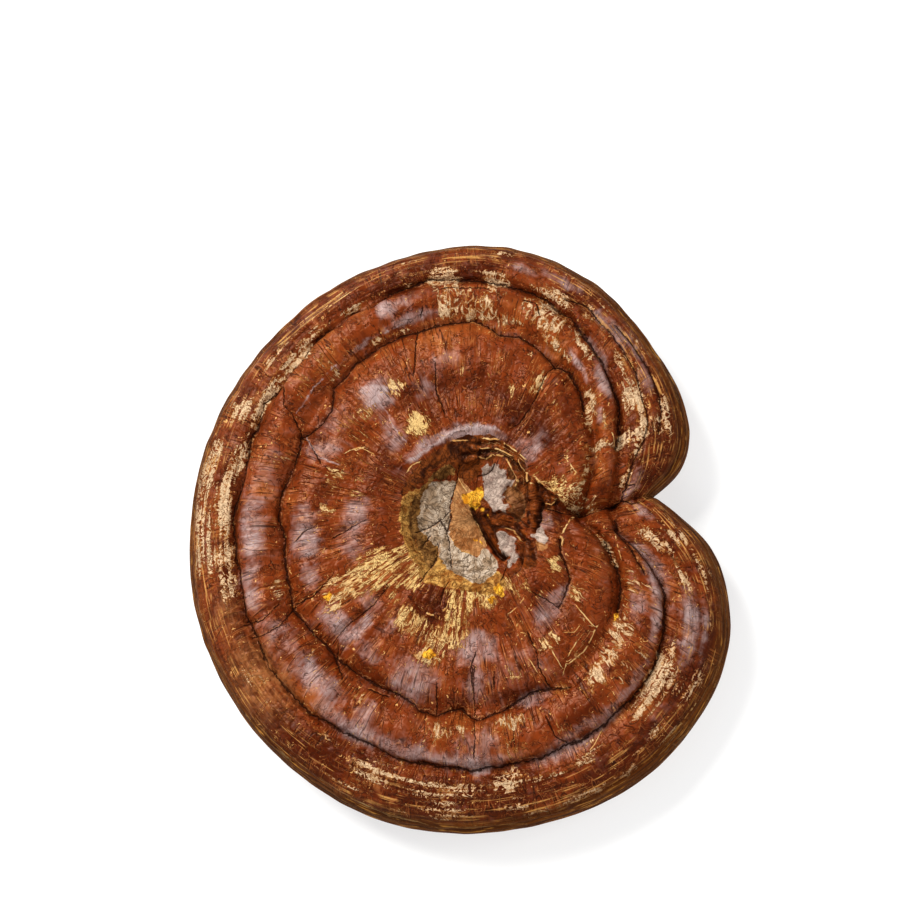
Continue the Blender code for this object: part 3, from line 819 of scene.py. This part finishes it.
# Patches of waxy bloom with painted sheen, the soft light's reflection
BLOOM_AND_SHEEN = np.array((
    (25, -3, 3.5, 4, 0.5), (27, -27, 4.5, 2.5, 0.6), (20, 19, 2, 9, 0.6), (-28, 69, 3, 3.5, 0.9),
    (-18, 66, 8.5, 2, 0.7), (-21, 72, 6.5, 2, 0.5), (-35, 57, 11, 0.5, 0.7), (-30, 40, 6, 4.5, 1),
    (-15, 42, 2.5, 3, 0.5), (-26, 29, 2, 8, 0.5), (-23, 24, 4, 2.5, 0.5), (-12, 25, 11, 1, 0.8),
    (-11, 49, 8.5, 2, 0.4), (-46, 27, 6.5, 4.5, 0.4), (-49, 22, 2.5, 4.5, 0.5),
    (-66, 16, 13, 4.5, 0.35), (-43, 33, 5, 4, 0.3), (-71, -3, 12.5, 4.5, 0.75), (-72, -18, 4, 4, 0.7),
    (-70, -25, 4, 3, 0.7), (-53, -5, 6, 4.5, 0.7), (-51, -8, 4, 3.5, 0.8), (-54, 0, 4, 5, 0.5),
    (-36, 1, 5.5, 4, 0.75), (-38, -8, 5.5, 4, 0.45), (-51, -19, 4, 3, 0.6), (-43, -34, 6.5, 4, 0.85),
    (-35, -36, 1.5, 8, 0.8), (-32, -28, 4, 3, 0.4), (-32, -44, 4, 3, 0.5), (-25, -36, 2, 3, 0.6),
    (-19, -53, 8, 6.5, 0.6), (-61, -39, 12, 5, 0.4), (-50, -51, 11.5, 4, 0.75), (-44, -62, 8.5, 3, 0.6),
    (-36, -69, 7.5, 3.5, 0.8), (-21, -75, 14.5, 3, 0.7), (-34, -63, 2.5, 5, 0.5),
    (2, -43, 7.5, 4.5, 0.8), (2, -52, 3, 8, 0.5), (19, -59, 6, 2.5, 0.6), (-11, -78, 22, 2, 0.75),
    (2, -80, 6.5, 1.5, 0.8), (3, -73, 6, 4.5, 0.4), (30, -74, 13, 2, 0.6), (42, -66, 7.5, 1.5, 0.5),
    (12, -51, 11, 7, 0.25), (24, -32, 4, 4, 0.6), (56, -15, 7.5, 2, 0.6), (59, -27, 10, 2, 0.75),
    (58, -37, 6, 1.5, 0.7), (52, -29, 6, 3, 0.6), (69, -36, 12.5, 2, 0.75), (73, -39, 8, 0.5, 0.6),
    (50, -57, 10.5, 1, 0.6), (36, -68, 10.5, 1.5, 0.65), (54, 1, 4, 1, 0.6), (0, 27, 11.5, 2, 0.8),
    (-7, 51, 4, 3, 0.45), (21, 20, 1.5, 6.5, 0.5), (16, 23, 4, 5, 0.3), (35, 48, 6, 1.5, 0.8),
    (41, 52, 6.5, 1.5, 0.6), (43, 42, 5.5, 3, 0.85), (47, 59, 6, 2, 0.7), (52, 54, 4, 1, 0.6),
    (42, 64, 3.5, 1.5, 0.7), (30, 77, 7.5, 1.5, 0.5), (17, 82, 5.5, 1, 0.4), (56, 43, 6, 1.5, 0.4),
    (51, 8, 3.5, 2.5, 0.5), (42, 31, 1.5, 2.5, 0.6),
))
TONES = np.array((
    (-58, 77, 29, 5, 0.5), (-87, 2, 23, 5, 0.6), (-13, 60, 26, 5, 0.6), (-46, 63, 16, 4, 0.4),
    (22, 54, 16, 6, 0.3), (48, 50, 19, 5, 0.4), (41, 26, 13, 6, 0.4), (63, -16, 23, 5, 0.5),
    (47, -19, 13, 5, 0.3), (53, -60, 16, 5, 0.4), (3, -66, 19, 3, 0.3), (-4, 88, 26, 3, 0.35),
    (-71, -25, 19, 4, 0.3), (-54, -55, 13, 5, 0.5), (19, 31, 16, 6, -1), (0, 24, 16, 4, -0.8),
    (-26, 12, 8, 6, -0.8), (-24, 26, 10, 5, -0.5), (-45, 12, 8, 5, -0.3), (27, 0, 8, 8, -0.6),
    (-58, -71, 16, 5, -0.8), (-43, -55, 13, 3, -0.4), (52, -77, 19, 6, -0.8), (-13, -59, 19, 4, -0.5),
    (-13, -28, 8, 7, -0.9), (-1, -90, 39, 5, -0.5), (-46, -85, 26, 5, -0.4), (45, -87, 19, 5, -0.5),
    (60, 15, 10, 6, -0.5), (78, -41, 19, 3, -0.6), (28, -29, 10, 10, -0.35), (-16, 39, 19, 5, -0.4),
    (-78, -21, 13, 3, -0.4), (15, -56, 13, 5, -0.3),
))
TAN_MARGIN = np.array((
    (-68, -50, 14, 9, 0.9), (-80, -30, 8, 4, 0.5),
))


def patches(rows):
    """The strength of the strongest patch at each point of the top."""
    top = np.flatnonzero(stations < RIM_STATION + 0.8)
    strength = np.zeros(len(stations))
    for px, py, length, width, strong in rows:
        at = top[np.argmin((x[top] - px) ** 2 + (y[top] - py) ** 2)]
        turn = (round_seam[top] - round_seam[at] + math.pi) % (2 * math.pi) - math.pi
        along = turn * math.hypot(px, py) + 3.0 * wander_x[top]
        over = way[top] - way[at] + 1.5 * wander_y[top]
        far = np.sqrt((along / (length + 0.9)) ** 2 + (over / (width + 0.7)) ** 2)
        patch = strong * (1 - rise(far, 0.3, 1.45))
        strength[top] = np.where(np.abs(patch) > np.abs(strength[top]), patch, strength[top])
    return strength


def slowly(size, octaves, offset):
    """Slow noise over the whole cap from about -1 to 1."""
    return np.array([
        noise.fractal(Vector((px / size, py / size, pz / size + offset)), 1.0, 2.0, octaves)
        for px, py, pz in zip(x, y, height)
    ])


def keep(name, *columns):
    """Keeps three numbers for each point of the net, for the material to read."""
    attribute = mesh.attributes.new(name, "FLOAT_VECTOR", "POINT")
    attribute.data.foreach_set("vector", np.column_stack(columns).astype(np.float32).ravel())


shaped = 0.85 * rise(inside(*SCUFF_OUTLINES), -1.8, 1.0)
scuffs = np.maximum.reduce((patches(RING_SCUFFS), patches(RAY_SCUFFS), shaped))
keep("growth", np.cos(round_seam), np.sin(round_seam), way / 100)
keep("gaps", ring_gap, crack_gap, straw_gap)
keep("fades", ring_near, crack_near, straw_near)
# Painted highlight along the ridge crests
crest_highlight_gap, crest_highlight_near = beside_lines(CREST_HIGHLIGHT_LINES)
blooms_and_sheen = np.maximum(patches(BLOOM_AND_SHEEN), 1.2 * rise(inside(*BLOOM_AND_SHEEN_SPOTS), -0.7, 0.7))
# The second column is the waxy bloom with its painted sheen
keep("bare", scuffs, blooms_and_sheen, patches(TAN_MARGIN))
keep("hollow", inside(GREY_FLOOR), inside(OCHRE_LIP), inside(*YELLOW_CRUST))
keep("hollow_more", inside(*TAN_FLOOR), inside(OLIVE_SHADE), inside(BURNT_LIP))
# The second column is painted shade in the folds and under the flap, with the knob's own dark colour; the third is the
# cavity, painted near black as shade
keep("hollow_most", np.maximum(smooth_floor, facets), np.maximum(dark_folds, inside(KNOB)), cavity)
keep("place", stations, share, patches(TONES))
keep("slow", slowly(15, 3, 0), slowly(6, 2, 30), slowly(4, 2, 60))
# The first column sets the painted shade in the folds' creases, the third the painted highlight along the ridge crests
keep("worked", relief * (radius < 28), inside(WALL), np.where(crest_highlight_near > 0.3, crest_highlight_gap, 9.0))

crust = bpy.data.materials.new("lacquered_crust")
crust.use_nodes = True
tree = crust.node_tree
shader = tree.nodes["Principled BSDF"]


def add(kind, inputs, output=0, **settings):
    """A node with its settings, and values or other nodes' outputs at its inputs."""
    made = tree.nodes.new("ShaderNode" + kind)
    for name, value in settings.items():
        setattr(made, name, value)
    for name, value in inputs.items():
        if isinstance(value, bpy.types.NodeSocket):
            tree.links.new(value, made.inputs[name])
        else:
            made.inputs[name].default_value = value
    return made.outputs[output]


def calc(operation, *values):
    return add("Math", dict(enumerate(values)), operation=operation)


def times(first, *others):
    for other in others:
        first = calc("MULTIPLY", first, other)
    return first


def plus(first, *others):
    for other in others:
        first = calc("ADD", first, other)
    return first


def most(first, *others):
    for other in others:
        first = calc("MAXIMUM", first, other)
    return first


def ramp(value, low, high, start=0.0, end=1.0):
    """Start below low, end above high, and smooth in between."""
    inputs = {"Value": value, 1: low, 2: high, 3: start, 4: end}
    return add("MapRange", inputs, interpolation_type="SMOOTHSTEP")


def grain(vector, size, detail=2.0, rough=0.5, warp=0.0):
    """Noise round 0 with grains of that size, mostly from -1 to 1."""
    inputs = {"Vector": vector, "Scale": 1 / size, "Detail": detail, "Roughness": rough, "Distortion": warp}
    noise_value = add("TexNoise", inputs, "Fac")
    return calc("MULTIPLY_ADD", noise_value, 4.0, -2.0)


def scaled(vector, *factors):
    return add("VectorMath", {0: vector, 1: factors}, operation="MULTIPLY")


def mix(factor, first, second):
    inputs = {0: factor, 6: first, 7: second}
    return add("Mix", inputs, 2, data_type="RGBA")


def blend(factor, first, second):
    return add("Mix", {0: factor, 2: first, 3: second})


def shaded(colour, factor):
    """The colour made lighter or darker by a factor."""
    return add("VectorMath", {0: colour, "Scale": factor}, operation="SCALE")


def paint(r, g, b):
    return (r, g, b, 1.0)


def read(name):
    vector = add("Attribute", {}, "Vector", attribute_name=name)
    parts = tree.nodes.new("ShaderNodeSeparateXYZ")
    tree.links.new(vector, parts.inputs[0])
    return vector, *parts.outputs


in_mm = scaled(add("TexCoord", {}, "Object"), 1000, 1000, 1000)
growth, _, _, outward = read("growth")
rays = scaled(growth, 60, 60, 12)
short_rays = scaled(growth, 60, 60, 35)
rings = scaled(growth, 4, 4, 100)
_, ring_at, crack_at, straw_at = read("gaps")
_, ring_by, crack_by, straw_by = read("fades")
_, scuff, bloom_and_sheen, tan_margin = read("bare")
_, grey, ochre, yellow = read("hollow")
_, tan, olive_wall_shade, burnt = read("hollow_more")
_, pale, fold_shade_and_knob, cavity_shade = read("hollow_most")
_, station, out_share, toned = read("place")
_, slow, patchy, mottled = read("slow")
_, worked, wall, crest_highlight_at = read("worked")
on_margin = ramp(station, 12.6, 13.6)

# Lacquer: burnt mahogany to orange, in slow patches, rays and rings
ray_grain = grain(short_rays, 2.4, 1, 0.5)
ring_grain = grain(rings, 1.0, 3, 0.6)
wrinkle = grain(in_mm, 2.6, 1, 0.5, 0.8)
mottle = grain(in_mm, 8.0, 2, 0.55, 0.8)
tone = plus(toned, times(slow, 0.6), times(patchy, 0.4), times(mottle, 0.35), times(ring_grain, blend(on_margin, 0.05, 0.4)))
tone = plus(tone, times(on_margin, -0.45))
lacquer = mix(ramp(tone, -1.0, 0.1), paint(0.080, 0.0125, 0.0018), paint(0.185, 0.0370, 0.0070))
lacquer = mix(ramp(tone, 0.0, 1.1), lacquer, paint(0.300, 0.0830, 0.0180))
# Painted shade and highlight: the lacquer is darker in the low fine wrinkles and lighter on the raised ones, by the
# same noise as their bump heights
fine = plus(times(ray_grain, blend(on_margin, 0.5, 0.2)), times(wrinkle, 0.5))
lacquer = shaded(lacquer, ramp(fine, -0.8, 0.8, 0.72, 1.16))

# Fine lines of the shrunken crust: dark rays, a dark mesh and curls, painted as shade in its wrinkles, with painted
# highlights beside them
ray_lines = grain(rays, 2.4, 2, 0.5, 0.5)
mesh_lines = grain(in_mm, 5.0, 2, 0.5, 1.4)
curl_lines = grain(in_mm, 2.4, 1, 0.5, 1.0)


def line(noise_value, level, width):
    return ramp(calc("ABSOLUTE", calc("SUBTRACT", noise_value, level)), 0.0, width, 1.0, 0.0)


by_rays = ramp(patchy, -0.20, 0.30)
by_mesh = ramp(patchy, 0.25, -0.20)
by_curls = ramp(mottled, 0.30, -0.30)
curls = times(line(curl_lines, 0.0, 0.12), by_curls)
wrinkle_shade = most(times(line(ray_lines, 0.0, 0.09), by_rays), times(line(mesh_lines, 0.0, 0.07), by_mesh), times(curls, 0.6))
wrinkle_highlight = most(times(line(ray_lines, 0.22, 0.10), by_rays), times(line(curl_lines, 0.25, 0.12), by_curls))
# Painted highlight beside the wrinkles
lacquer = mix(times(wrinkle_highlight, 0.50), lacquer, paint(0.40, 0.155, 0.050))
# Painted shade in the wrinkles
lacquer = mix(times(wrinkle_shade, 0.90), lacquer, paint(0.026, 0.0044, 0.0011))
# Painted shade: a broad dark band along the ring creases, where shade falls
painted_valley_shade = times(ramp(calc("ABSOLUTE", ring_at), 0.2, 2.0, 0.60, 0.0), ring_by)
lacquer = mix(painted_valley_shade, lacquer, paint(0.055, 0.0095, 0.0016))

# Bloom and painted sheen: a cool waxy bloom, with the soft light's reflection painted on the high places and a painted
# highlight along the ridge crests, broken by the rays
brushed = grain(rays, 0.9, 1, 0.5)
jitter = times(grain(in_mm, 1.3, 2, 0.6), 0.34)
fibres = blend(on_margin, grain(rays, 0.9, 2, 0.6, 0.6), grain(rings, 0.6, 2, 0.6, 0.3))
crest_highlight = ramp(calc("ABSOLUTE", plus(crest_highlight_at, jitter)), 0.05, 0.55, 0.9, 0.0)
bloom_and_sheen_level = plus(times(most(bloom_and_sheen, times(crest_highlight, ramp(mottle, -0.7, 0.1))), 1.1), times(mottle, 0.25), times(mottled, 0.25), times(brushed, 0.14), times(wrinkle, 0.12))
bloom_and_sheen_at = times(ramp(bloom_and_sheen_level, 0.05, 1.5, 0.0, 0.85), calc("SUBTRACT", 1.0, most(times(wrinkle_shade, 0.75), times(line(fibres, 0.1, 0.22), 0.45))))
crust_colour = mix(bloom_and_sheen_at, lacquer, paint(0.44, 0.355, 0.345))
tanned = times(tan_margin, ramp(plus(fine, times(fibres, 0.5), times(mottle, 0.5)), -0.7, 0.7, 0.15, 0.9))
crust_colour = mix(tanned, crust_colour, paint(0.34, 0.14, 0.050))

# Bare flesh where the lacquer is scuffed off in strokes: along the rings at the margin and along
# the rays further in, with curls of crust left in it and specks round it
speck_zone = plus(times(on_margin, 0.10), times(ramp(calc("ABSOLUTE", ring_at), 0.5, 3.0, 0.10, 0.0), ring_by))
inner = ramp(out_share, 0.38, 0.50, 1.0, 0.0)
ray_strokes = blend(inner, grain(rays, 1.5, 1, 0.5, 0.5), grain(rays, 3.4, 1, 0.5, 0.6))
strokes = blend(on_margin, ray_strokes, grain(rings, 1.3, 1, 0.5, 0.2))
combed = scaled(growth, 60, 60, 45)
curled = blend(on_margin, grain(combed, 1.8, 1, 0.5, 0.9), grain(in_mm, 2.0, 1, 0.5, 1.3))
lace = calc("ABSOLUTE", curled)
stroke_share = blend(on_margin, blend(inner, 0.30, 0.50), 0.50)
bare_level = plus(
    times(scuff, 0.95), speck_zone, times(strokes, stroke_share), times(lace, -1.0), times(mottled, 0.2), -0.40,
)
bare = ramp(bare_level, -0.02, 0.05)
flesh_tone = ramp(plus(bare_level, times(fibres, 0.25)), -0.05, 0.42)
cream = mix(ramp(out_share, 0.30, 0.75), paint(0.70, 0.48, 0.20), paint(0.63, 0.45, 0.28))
flesh = mix(flesh_tone, paint(0.34, 0.135, 0.036), cream)
net = grain(in_mm, 1.25, 1, 0.5, 1.3)
netted = times(line(net, 0.0, 0.36), ramp(mottle, -0.6, 0.4, 0.45, 1.0))
flesh = mix(netted, flesh, paint(0.16, 0.054, 0.013))
fleck = times(ramp(bare_level, -0.24, -0.02, 0.0, 0.65), ramp(plus(patchy, net), -0.3, 0.6))
crust_colour = mix(fleck, crust_colour, paint(0.42, 0.155, 0.030))
# Painted shadow: a thin dark line round the edges of the bare scuffs
scuff_edge_shade = ramp(calc("ABSOLUTE", plus(bare_level, 0.05)), 0.0, 0.05, 0.6, 0.0)
crust_colour = mix(scuff_edge_shade, crust_colour, paint(0.050, 0.011, 0.002))
crust_colour = mix(bare, crust_colour, flesh)

# Small golden flecks
fleck_noise = plus(net, times(ramp(patchy, -0.5, 0.5), 0.30))
flecks = times(ramp(fleck_noise, 1.04, 1.14), ramp(out_share, 0.24, 0.30))
crust_colour = mix(flecks, crust_colour, paint(0.60, 0.33, 0.12))

# Golden growth lines that run round the margin
golden = times(ramp(grain(rings, 0.55, 2), 0.26, 0.55), ramp(station, 13.8, 15.4), ramp(patchy, -0.35, 0.20))
crust_colour = mix(times(golden, 0.85), crust_colour, paint(0.52, 0.27, 0.085))

# The hollow: grey and tan old flesh, an ochre lip, yellow specks and painted shade: olive on the inner left wall, and
# dark in the folds and under the flap
ragged = plus(times(mottled, 0.3), times(wrinkle, 0.35))
speckle = ramp(plus(times(grain(in_mm, 3.4, 2, 0.5, 0.8), 0.8), times(patchy, 0.3)), -0.6, 0.6)
cells = most(line(mesh_lines, 0.0, 0.15), line(curl_lines, 0.0, 0.19), times(line(net, 0.0, 0.22), 0.45))
for depth, colours, lined in (
    (burnt, (paint(0.036, 0.007, 0.0014), paint(0.235, 0.065, 0.013)), 0.7),
    (ochre, (paint(0.230, 0.080, 0.014), paint(0.600, 0.340, 0.100)), 0.8),
    (olive_wall_shade, (paint(0.075, 0.028, 0.006), paint(0.300, 0.155, 0.048)), 0.7),
    (tan, (paint(0.250, 0.095, 0.028), paint(0.500, 0.260, 0.110)), 0.5),
    (grey, (paint(0.270, 0.185, 0.115), paint(0.560, 0.450, 0.345)), 0.9),
    (wall, (paint(0.090, 0.028, 0.007), paint(0.320, 0.145, 0.055)), 0.6),
    (fold_shade_and_knob, (paint(0.035, 0.007, 0.002), paint(0.230, 0.058, 0.010)), 0.5),
    (pale, (paint(0.300, 0.210, 0.170), paint(0.500, 0.390, 0.320)), 0.6),
    (yellow, (paint(0.560, 0.230, 0.015), paint(0.920, 0.520, 0.060)), 0.9),
):
    cover = ramp(plus(depth, ragged), -0.15, 0.2)
    seam_colour = paint(*(0.35 * part for part in colours[0][:3]))
    tone = mix(times(cells, lined), mix(speckle, *colours), seam_colour)
    crust_colour = mix(cover, crust_colour, tone)

# Painted shade: the folds' creases are darkened by their depth
fold_crease_shade = ramp(plus(worked, times(wrinkle, 0.2)), -0.35, -1.0, 0.0, 0.85)
crust_colour = mix(fold_crease_shade, crust_colour, paint(0.028, 0.007, 0.002))
# Painted shade: the cavity is painted near black
crust_colour = mix(ramp(cavity_shade, -0.3, 1.0), crust_colour, paint(0.010, 0.003, 0.001))

# Ring creases and cracks, painted dark as shade falls in them, with painted highlights on their lips; and straws
thick = ramp(plus(mottled, times(patchy, 0.5)), -0.7, 0.7, 0.16, 0.50)
ring_crease_shade = times(ramp(calc("ABSOLUTE", plus(ring_at, jitter)), 0.03, thick, 1.0, 0.0), ring_by)
crack_shade = times(ramp(calc("ABSOLUTE", plus(crack_at, times(jitter, 0.8))), 0.02, times(thick, 0.75), 1.0, 0.0), crack_by)
crease_shade = most(ring_crease_shade, crack_shade)
straw_off = calc("ABSOLUTE", plus(straw_at, times(jitter, 2.2)))
straw = times(ramp(calc("SUBTRACT", straw_off, times(thick, 1.6)), 0.3, 0.8, 1.0, 0.0), straw_by)
straw = times(straw, ramp(wrinkle, -0.45, -0.15))
crust_colour = mix(times(straw, 0.95), crust_colour, mix(speckle, paint(0.50, 0.25, 0.08), paint(0.68, 0.46, 0.21)))
# Painted highlight along the lips beside the ring creases and cracks
lip_highlight = most(
    times(ramp(calc("ABSOLUTE", plus(ring_at, times(jitter, 1.5), -0.70)), 0.0, 0.22, 1.0, 0.0), ring_by),
    times(ramp(calc("ABSOLUTE", plus(crack_at, jitter, -0.45)), 0.0, 0.18, 0.8, 0.0), crack_by),
)
lip_highlight = times(lip_highlight, ramp(plus(wrinkle, mottle), -0.3, 0.5, 0.0, 0.6))
crust_colour = mix(lip_highlight, crust_colour, paint(0.52, 0.24, 0.095))
# Painted shade in the ring creases and cracks
crust_colour = mix(times(crease_shade, 0.9), crust_colour, paint(0.020, 0.0045, 0.0015))

# The rim's side: olive brown with gold threads, then the pale pored underside
side = times(ramp(station, 15.5, 16.6), ramp(station, 18.6, 19.2, 1.0, 0.0))
threads = ramp(grain(scaled(growth, 9, 9, 100), 0.7, 2), 0.30, 0.75)
side_colour = mix(ramp(ring_grain, -0.8, 0.8), paint(0.032, 0.009, 0.001), paint(0.145, 0.048, 0.007))
side_colour = mix(threads, side_colour, paint(0.40, 0.19, 0.040))
crust_colour = mix(times(side, 0.9), crust_colour, side_colour)
below = ramp(station, 18.7, 19.2)
pores = add("TexVoronoi", {"Vector": in_mm, "Scale": 1 / 0.55}, "Distance")
pored = mix(ramp(pores, 0.25, 0.5), paint(0.16, 0.085, 0.042), paint(0.40, 0.25, 0.14))
pored = mix(times(ramp(slow, -0.3, 0.5), 0.5), pored, paint(0.30, 0.17, 0.09))
crust_colour = mix(below, crust_colour, pored)

# Heights in mm for the light to catch
bump_height = plus(
    times(ray_grain, 0.12),
    times(wrinkle, 0.14),
    times(wrinkle_shade, -0.14),
    times(bare, 0.12),
    times(fibres, bare, 0.10),
    times(netted, bare, -0.12),
    times(scuff_edge_shade, -0.08),
    times(lip_highlight, 0.12),
    times(flecks, 0.10),
    times(crease_shade, -0.45),
    times(straw, 0.2),
    times(ring_grain, times(on_margin, 0.10)),
    times(ramp(pores, 0.2, 0.5), times(below, 0.3)),
)
normal = add("Bump", {"Strength": 1.0, "Distance": MM, "Height": bump_height}, "Normal")
old = ramp(most(ochre, tan, grey, pale, olive_wall_shade), -0.2, 0.2)
dull = most(bare, straw, old, below, times(crease_shade, 0.8), side, times(ramp(station, 14.5, 16.0), 0.6))
tree.links.new(crust_colour, shader.inputs["Base Color"])
tree.links.new(normal, shader.inputs["Normal"])
tree.links.new(ramp(dull, 0.0, 1.0, 0.34, 0.8), shader.inputs["Roughness"])
shader.inputs["Specular IOR Level"].default_value = 0.2
shader.inputs["Specular Tint"].default_value = paint(1.0, 0.62, 0.45)

cap = bpy.data.objects.new("reishi_cap", mesh)
bpy.context.scene.collection.objects.link(cap)
mesh.materials.append(crust)
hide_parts("cap")
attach(cap, "root")


# A plain pale floor that the cap rests on.
FLOOR_HALF = 3.0
bm = bmesh.new()
bmesh.ops.create_grid(bm, x_segments=1, y_segments=1, size=FLOOR_HALF)
floor_mesh = bpy.data.meshes.new("floor")
bm.to_mesh(floor_mesh)
bm.free()
paper = bpy.data.materials.new("pale_floor")
paper.use_nodes = True
paper_shader = paper.node_tree.nodes["Principled BSDF"]
paper_shader.inputs["Base Color"].default_value = (0.46, 0.46, 0.45, 1)
paper_shader.inputs["Roughness"].default_value = 0.9
paper_shader.inputs["Specular IOR Level"].default_value = 0.1
paper_shader.inputs["Emission Color"].default_value = (0.98, 0.985, 1.0, 1)
paper_shader.inputs["Emission Strength"].default_value = 0.50
floor_mesh.materials.append(paper)
floor = bpy.data.objects.new("floor", floor_mesh)
bpy.context.scene.collection.objects.link(floor)


# Plain soft studio light: a dim surround and large soft boxes from the upper left and the sides.
world = bpy.data.worlds.new("studio")
world.use_nodes = True
world.node_tree.nodes["Background"].inputs["Color"].default_value = (0.97, 0.98, 1.0, 1)
world.node_tree.nodes["Background"].inputs["Strength"].default_value = 0.35
bpy.context.scene.world = world
bpy.context.scene.view_settings.view_transform = "Standard"
bpy.context.scene.view_settings.look = "Medium High Contrast"


def soft_box(name, place, size, power, colour):
    """A square area light that faces the cap."""
    light = bpy.data.lights.new(name, "AREA")
    light.size = size
    light.energy = power
    light.color = colour
    lamp = bpy.data.objects.new(name, light)
    lamp.location = place
    lamp.rotation_euler = Vector(place).to_track_quat("Z", "Y").to_euler()
    bpy.context.scene.collection.objects.link(lamp)


soft_box("softbox_key", (-1.0, 1.0, 1.5), 0.9, 48, (1.0, 0.99, 0.97))
soft_box("softbox_side", (1.3, 0.1, 1.3), 0.9, 8, (1.0, 0.98, 0.95))
soft_box("softbox_front", (0.1, -1.4, 1.2), 0.9, 7, (1.0, 0.98, 0.96))
